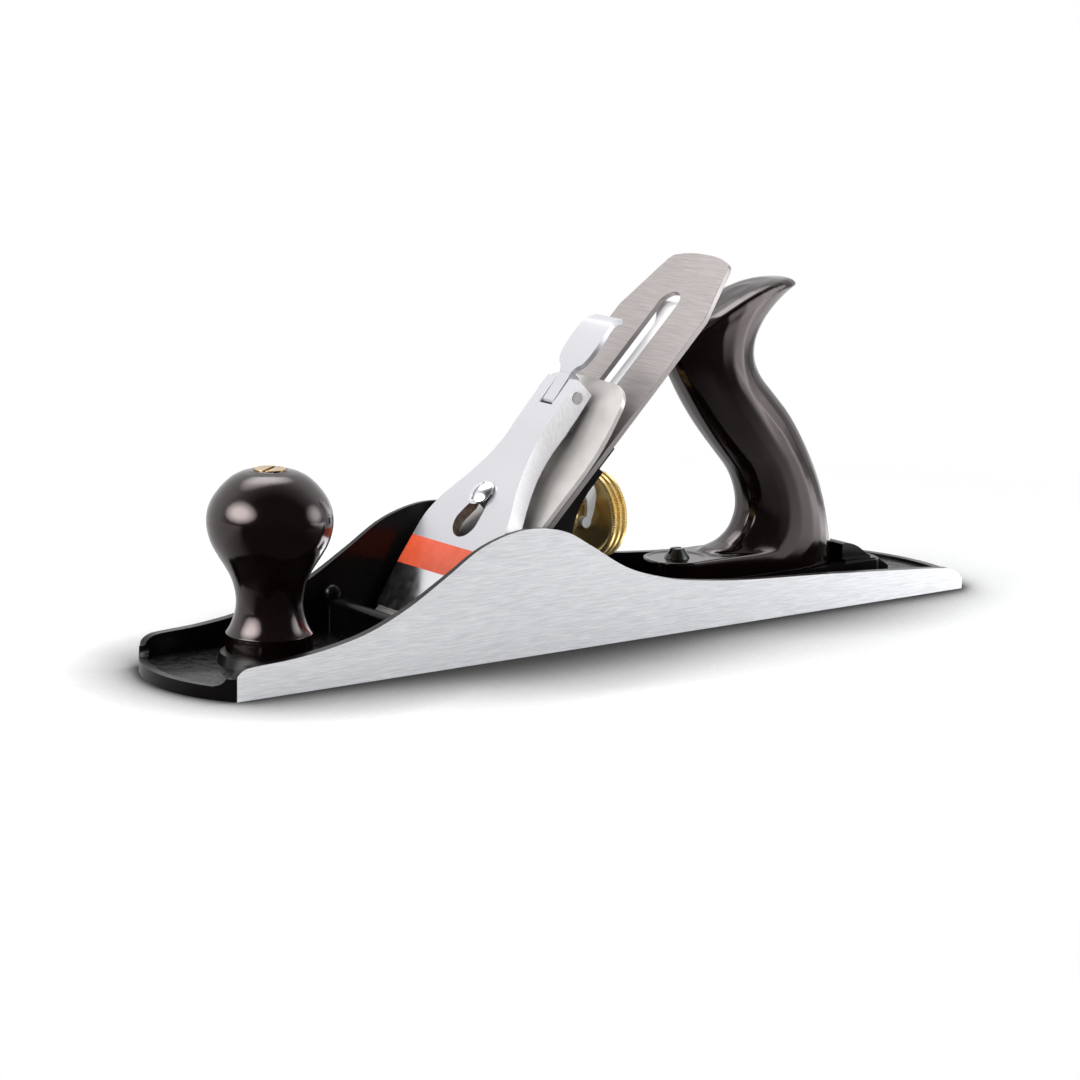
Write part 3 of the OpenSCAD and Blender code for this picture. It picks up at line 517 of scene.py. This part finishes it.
def make_lever_cap():
    piece = copy_of("lever_cap", "lever_cap_dressed")
    for s in (PANEL_START, PANEL_END):
        edit(piece, lambda s=s: bpy.ops.mesh.bisect(plane_co=on_bed(s), plane_no=up_bed))

    def is_top(face):
        return face.normal.dot(off_bed) > 0.8 and off_the_bed(face.center) > TOP_OFF_BED

    def is_panel(face):
        return is_top(face) and PANEL_START < up_the_bed(face.center) < PANEL_END

    def is_keyhole(face):
        along_it = KEYHOLE_START < up_the_bed(face.center) < KEYHOLE_END
        across_it = abs(face.center.y) < KEYHOLE_HALF_WIDTH
        return along_it and across_it and abs(face.normal.dot(off_bed)) < 0.5

    def is_painted_shade_underside(face):
        return face.normal.dot(off_bed) < -0.4

    def is_nose(face):
        return face.normal.dot(off_bed) > 0.25 and up_the_bed(face.center) < PANEL_START

    paint(piece, "brushed_nickel")
    paint(piece, "satin_nickel", is_top)
    paint(piece, "nickel", is_nose)
    # Painted shade: the underside takes black enamel, though the real one is plated, so that the cap iron
    # seen through the keyhole and under the flanks reflects dark.
    paint(piece, "enamel", is_painted_shade_underside)
    paint(piece, "panel", is_panel)
    paint(piece, "keyhole", is_keyhole)
    soften_edges(piece, LEVER_CAP_EDGE)
    smooth_piece(piece)
    seat(piece, "lever_cap")


def make_levers_and_spring():
    dress("lever_cap_cam", "satin_nickel", 0.3)
    dress("lever_cap_spring", "steel", 0.1)
    dress("yoke_lever", "zinc", 0.3)
    dress("lateral_lever", "zinc", 0.25)


# Depth wheel, spun from its profile, with three knurled ridges; radii and X are in millimetres
WHEEL_BORE = 3.05
WHEEL_HUB = 5.5
WHEEL_GROOVE = 3.9
GROOVE_START = -2.0
GROOVE_END = 3.0
WHEEL_BACK = 15.4
RIM_INSIDE = 14.4
RIM_START = 6.6
RIM_END = 13.6
RIDGES = 3
KNURL_TEETH = 110
KNURL_DEPTH = 0.5 * MM
KNURL_REACH = 0.4 * MM
WHEEL_SMOOTH = 28


def wheel_profile():
    """The wheel's outline as radius and X: hub, the yoke's groove, dish, knurled rim and back."""
    radius = wheel_radius / MM
    front = wheel_low.x / MM
    points = [(WHEEL_BORE, front), (WHEEL_HUB, front), (WHEEL_HUB, GROOVE_START)]
    points += [(WHEEL_GROOVE, GROOVE_START), (WHEEL_GROOVE, GROOVE_END)]
    points += [(WHEEL_HUB, GROOVE_END), (WHEEL_HUB, 4.6), (4.9, 4.9), (4.9, 8.3)]
    points += [(11.6, 8.6), (13.4, 8.0), (RIM_INSIDE, RIM_START)]
    pitch = (RIM_END - RIM_START) / RIDGES
    for ridge in range(RIDGES):
        x = RIM_START + ridge * pitch
        points += [(radius - 1.1, x), (radius - 0.3, x + 0.3), (radius, x + 0.6)]
        x += pitch
        points += [(radius, x - 0.8), (radius - 0.3, x - 0.5), (radius - 1.1, x - 0.2)]
    points += [(RIM_INSIDE, RIM_END), (13.2, 12.0), (9.0, 11.6)]
    points += [(7.5, WHEEL_BACK), (WHEEL_BORE, WHEEL_BACK)]
    return points


def cut_knurl(piece, steps):
    """Sinks every second row of the rim's crest."""
    for vertex in piece.data.vertices:
        arm = Vector((0, vertex.co.y, vertex.co.z - wheel_axis_z))
        step = round(math.atan2(arm.y, arm.z) / (2 * math.pi) * steps)
        if arm.length > wheel_radius - KNURL_REACH and step % 2:
            arm *= 1 - KNURL_DEPTH / arm.length
            vertex.co.y = arm.y
            vertex.co.z = wheel_axis_z + arm.z


def make_depth_wheel():
    outline = [Vector((x, 0, wheel_axis_z / MM + r)) * MM for r, x in wheel_profile()]
    count = len(outline)
    mesh = bpy.data.meshes.new("depth_wheel_dressed")
    mesh.from_pydata(outline, [(i, (i + 1) % count) for i in range(count)], [])
    piece = bpy.data.objects.new("depth_wheel_dressed", mesh)
    bpy.context.scene.collection.objects.link(piece)
    steps = 2 * KNURL_TEETH
    axle = Vector((0, 0, wheel_axis_z))
    edit(
        piece,
        lambda: bpy.ops.mesh.spin(steps=steps, angle=2 * math.pi, center=axle, axis=(1, 0, 0)),
        lambda: bpy.ops.mesh.remove_doubles(threshold=MERGE_DISTANCE / 2),
        lambda: bpy.ops.mesh.normals_make_consistent(inside=False),
    )
    cut_knurl(piece, steps)
    paint(piece, "brass")
    smooth_piece(piece, WHEEL_SMOOTH)
    seat(piece, "depth_wheel")


# Handles
KNOB_SMOOTH = 40
TOTE_VOXEL = 0.55 * MM
TOTE_SMOOTH = 60


def make_knob():
    piece = copy_of("front_knob", "front_knob_dressed", flat_faces=False)
    paint(piece, "lacquer")
    smooth_piece(piece, KNOB_SMOOTH)
    seat(piece, "front_knob")


def make_tote():
    """The grip flows into its foot with no seam, as wood shaped by hand does."""
    piece = copy_of("tote", "tote_dressed")
    apply_modifier(piece, "REMESH", mode="VOXEL", voxel_size=TOTE_VOXEL, adaptivity=0)
    apply_modifier(piece, "SMOOTH", factor=0.5, iterations=6)
    paint(piece, "lacquer")
    smooth_piece(piece, TOTE_SMOOTH)
    seat(piece, "tote")


make_body_casting()
make_frog()
make_hardware()
make_irons()
make_lever_cap()
make_levers_and_spring()
make_depth_wheel()
make_knob()
make_tote()


# Studio
def combined(tree, operation, *values):
    """One Math node over these values, each of them an output or a number."""
    node = tree.nodes.new("ShaderNodeMath")
    node.operation = operation
    for socket, value in zip(node.inputs, values):
        if isinstance(value, (int, float)):
            socket.default_value = value
        else:
            tree.links.new(value, socket)
    return node.outputs[0]


def mixed_by_ray(tree, plain, shown, rays):
    """plain for most rays, and shown where one of the named kinds of ray looks at it."""
    path = tree.nodes.new("ShaderNodeLightPath")
    total = path.outputs[rays[0]]
    for ray in rays[1:]:
        total = combined(tree, "MAXIMUM", total, path.outputs[ray])
    mix = tree.nodes.new("ShaderNodeMixShader")
    tree.links.new(total, mix.inputs["Fac"])
    tree.links.new(plain, mix.inputs[1])
    tree.links.new(shown, mix.inputs[2])
    return mix.outputs[0]


def along(tree, place, yaw, low, high, stops):
    """A grey ramp over how far a place, or a direction, lies along this heading."""
    nodes, links = tree.nodes, tree.links
    dot = nodes.new("ShaderNodeVectorMath")
    dot.operation = "DOT_PRODUCT"
    dot.inputs[1].default_value = (math.cos(yaw), math.sin(yaw), 0)
    span = nodes.new("ShaderNodeMapRange")
    span.inputs["From Min"].default_value = low
    span.inputs["From Max"].default_value = high
    ramp = nodes.new("ShaderNodeValToRGB")
    for stop, _ in stops[1:-1]:
        ramp.color_ramp.elements.new(stop)
    for element, (stop, grey) in zip(ramp.color_ramp.elements, stops):
        element.position = stop
        element.color = (grey, grey, grey, 1)
    links.new(place, dot.inputs[0])
    links.new(dot.outputs["Value"], span.inputs["Value"])
    links.new(span.outputs["Result"], ramp.inputs["Fac"])
    return ramp.outputs["Color"]


AMBIENT = 0.34
AMBIENT_COLOUR = (0.94, 0.96, 1.0, 1)
BACKDROP_YAW = math.radians(65)
BACKDROP_STOPS = ((0, 0.05), (0.34, 0.06), (0.52, 0.42), (0.68, 0.98))


def light_world():
    """White where the camera looks; in reflections, white behind the plane and dark before it."""
    world = bpy.data.worlds.new("studio")
    bpy.context.scene.world = world
    world.use_nodes = True
    tree = world.node_tree
    nodes, links = tree.nodes, tree.links
    nodes.clear()
    out = nodes.new("ShaderNodeOutputWorld")
    soft = nodes.new("ShaderNodeBackground")
    soft.inputs["Color"].default_value = AMBIENT_COLOUR
    soft.inputs["Strength"].default_value = AMBIENT
    white = nodes.new("ShaderNodeBackground")
    white.inputs["Color"].default_value = (1, 1, 1, 1)
    place = nodes.new("ShaderNodeTexCoord")
    reflected = nodes.new("ShaderNodeBackground")
    shade = along(tree, place.outputs["Generated"], BACKDROP_YAW, -1, 1, BACKDROP_STOPS)
    links.new(shade, reflected.inputs["Color"])
    glossy = mixed_by_ray(tree, soft.outputs[0], reflected.outputs[0], ["Is Glossy Ray"])
    seen = mixed_by_ray(tree, glossy, white.outputs[0], ["Is Camera Ray", "Is Transmission Ray"])
    links.new(seen, out.inputs["Surface"])


# The floor in reflections: each ramp runs along its heading, from and to so many metres out
BEHIND_YAW = math.radians(96)
BEHIND_REACH = (0, 0.4)
BEHIND_STOPS = ((0, 0.04), (0.06, 0.4), (0.2, 0.85), (1, 0.95))
BESIDE_YAW = math.radians(-90)
BESIDE_REACH = (0, 0.4)
BESIDE_STOPS = ((0, 0.25), (0.4, 0.22), (0.75, 0.1), (1, 0.05))
PAST_TOE_REACH = (-0.1, 0.1)
PAST_TOE_STOPS = ((0, 0.03), (0.4, 0.3), (0.8, 1), (1, 1))
GLOW = 4.0
GLOW_YAW = math.radians(43)
GLOW_REACH = (0, 0.35)
GLOW_STOPS = ((0, 0), (0.5, 0.8), (0.75, 0.5), (1, 0.12))
GLOW_SIDE_YAW = math.radians(-40)
GLOW_SIDE_REACH = (0.05, 0.2)
GLOW_SIDE_STOPS = ((0, 0), (0.5, 0.5), (1, 1))

# The floor as the camera sees it, with a painted contact shadow near the plane
FLOOR_COLOUR = (0.86, 0.86, 0.86, 1)
FLOOR_UNDER = 0.05 * MM
FLOOR_LIFT = 0.04
CONTACT_COLOUR = (0.95, 0.95, 0.95, 1)
PAINTED_SHADOW_REACH = 0.07
PAINTED_SHADOW_GAMMA = 5.5
FADE_START = 0.24
FADE_END = 0.42


def floor_in_reflections(tree, where):
    """Pale behind the plane and close beside it, dark toward the camera, with a glow at the right."""
    behind = along(tree, where, BEHIND_YAW, *BEHIND_REACH, BEHIND_STOPS)
    beside = along(tree, where, BESIDE_YAW, *BESIDE_REACH, BESIDE_STOPS)
    past_toe = along(tree, where, 0, *PAST_TOE_REACH, PAST_TOE_STOPS)
    glow_low = along(tree, where, GLOW_YAW, *GLOW_REACH, GLOW_STOPS)
    glow_side = along(tree, where, GLOW_SIDE_YAW, *GLOW_SIDE_REACH, GLOW_SIDE_STOPS)
    table = combined(tree, "MULTIPLY", beside, past_toe)
    brighter = combined(tree, "MAXIMUM", table, behind)
    glow = combined(tree, "MULTIPLY", glow_low, glow_side)
    strength = combined(tree, "MULTIPLY_ADD", glow, GLOW, brighter)
    reflected = tree.nodes.new("ShaderNodeEmission")
    reflected.inputs["Color"].default_value = (1, 1, 1, 1)
    tree.links.new(strength, reflected.inputs["Strength"])
    return reflected.outputs[0]


def floor_for_camera(tree, where):
    """The lit floor, its colour darkened close to the plane by a painted contact shadow, then plain white
    past the shadow.
    """
    nodes, links = tree.nodes, tree.links
    # Painted shadow: ambient occlusion, raised to a high power, darkens the floor's colour where the
    # plane stands close.
    nearby = nodes.new("ShaderNodeAmbientOcclusion")
    nearby.inputs["Color"].default_value = CONTACT_COLOUR
    nearby.inputs["Distance"].default_value = PAINTED_SHADOW_REACH
    painted_contact_shadow = nodes.new("ShaderNodeGamma")
    painted_contact_shadow.inputs["Gamma"].default_value = PAINTED_SHADOW_GAMMA
    lit = nodes.new("ShaderNodeBsdfDiffuse")
    links.new(nearby.outputs["Color"], painted_contact_shadow.inputs["Color"])
    links.new(painted_contact_shadow.outputs["Color"], lit.inputs["Color"])
    lift = nodes.new("ShaderNodeEmission")
    lift.inputs["Strength"].default_value = FLOOR_LIFT
    near = nodes.new("ShaderNodeAddShader")
    links.new(lit.outputs[0], near.inputs[0])
    links.new(lift.outputs[0], near.inputs[1])
    away = nodes.new("ShaderNodeVectorMath")
    away.operation = "LENGTH"
    fade = nodes.new("ShaderNodeMapRange")
    fade.interpolation_type = "SMOOTHSTEP"
    fade.inputs["From Min"].default_value = FADE_START
    fade.inputs["From Max"].default_value = FADE_END
    links.new(where, away.inputs[0])
    links.new(away.outputs["Value"], fade.inputs["Value"])
    white = nodes.new("ShaderNodeEmission")
    shown = nodes.new("ShaderNodeMixShader")
    links.new(fade.outputs["Result"], shown.inputs["Fac"])
    links.new(near.outputs[0], shown.inputs[1])
    links.new(white.outputs[0], shown.inputs[2])
    return shown.outputs[0]


def make_floor():
    """Pale floor: it keeps the plane's shadow, deepened near the plane by a painted contact shadow, and
    runs out to white away from it.
    """
    bpy.ops.object.select_all(action="DESELECT")
    bpy.ops.mesh.primitive_plane_add(size=60, location=(0, 0, -FLOOR_UNDER))
    floor = bpy.context.object
    floor.name = "floor"
    material = bpy.data.materials.new("pale floor")
    material.use_nodes = True
    tree = material.node_tree
    shader = tree.nodes["Principled BSDF"]
    shader.inputs["Base Color"].default_value = FLOOR_COLOUR
    shader.inputs["Roughness"].default_value = 0.9
    shader.inputs["Specular IOR Level"].default_value = 0.1
    where = tree.nodes.new("ShaderNodeNewGeometry").outputs["Position"]
    reflected = floor_in_reflections(tree, where)
    plain = mixed_by_ray(tree, shader.outputs[0], reflected, ["Is Glossy Ray"])
    seen = mixed_by_ray(tree, plain, floor_for_camera(tree, where), ["Is Camera Ray"])
    tree.links.new(seen, tree.nodes["Material Output"].inputs["Surface"])
    floor.data.materials.append(material)


# Lamps
NEST_SIZES = (1.0, 0.85, 0.7, 0.55, 0.4)
NEST_STEP = 0.002


def softbox(name, place, aim, width, height, brightness, colour=(1, 1, 1), in_gloss=True):
    """Nested ellipses that face the aim, so that the light dims toward its rim, as a real softbox's
    does. Brightness 1 shows as white in a mirror."""
    place, aim = Vector(place), Vector(aim)
    forward = (aim - place).normalized()
    for i, size in enumerate(NEST_SIZES):
        data = bpy.data.lights.new(name, "AREA")
        data.shape = "ELLIPSE"
        data.size = width * size
        data.size_y = height * size
        face = math.pi / 4 * data.size * data.size_y
        data.energy = brightness / len(NEST_SIZES) * math.pi * face
        data.color = colour
        light = bpy.data.objects.new(name, data)
        light.location = place + forward * (NEST_STEP * i)
        light.visible_glossy = in_gloss
        light.rotation_euler = forward.to_track_quat("-Z", "Y").to_euler()
        bpy.context.scene.collection.objects.link(light)


def light_studio():
    softbox("overhead softbox", (0.05, 0.55, 1.3), (0, 0, 0.03), 1.6, 1.1, 5.0)
    softbox("left softbox", (-1.15, 0.08, 0.6), (0, 0, 0.06), 1.4, 1.0, 10.0, (1, 0.99, 0.97))
    softbox("right softbox", (0.38, -0.29, 0.2), (0.1, 0, 0.07), 0.42, 0.4, 4.0, (0.98, 0.99, 1))
    softbox("front fill", (0.25, -1.2, 0.5), (0, 0, 0.05), 1.4, 1.1, 2.4, in_gloss=False)


light_world()
make_floor()
light_studio()
bpy.context.scene.view_settings.view_transform = "Standard"
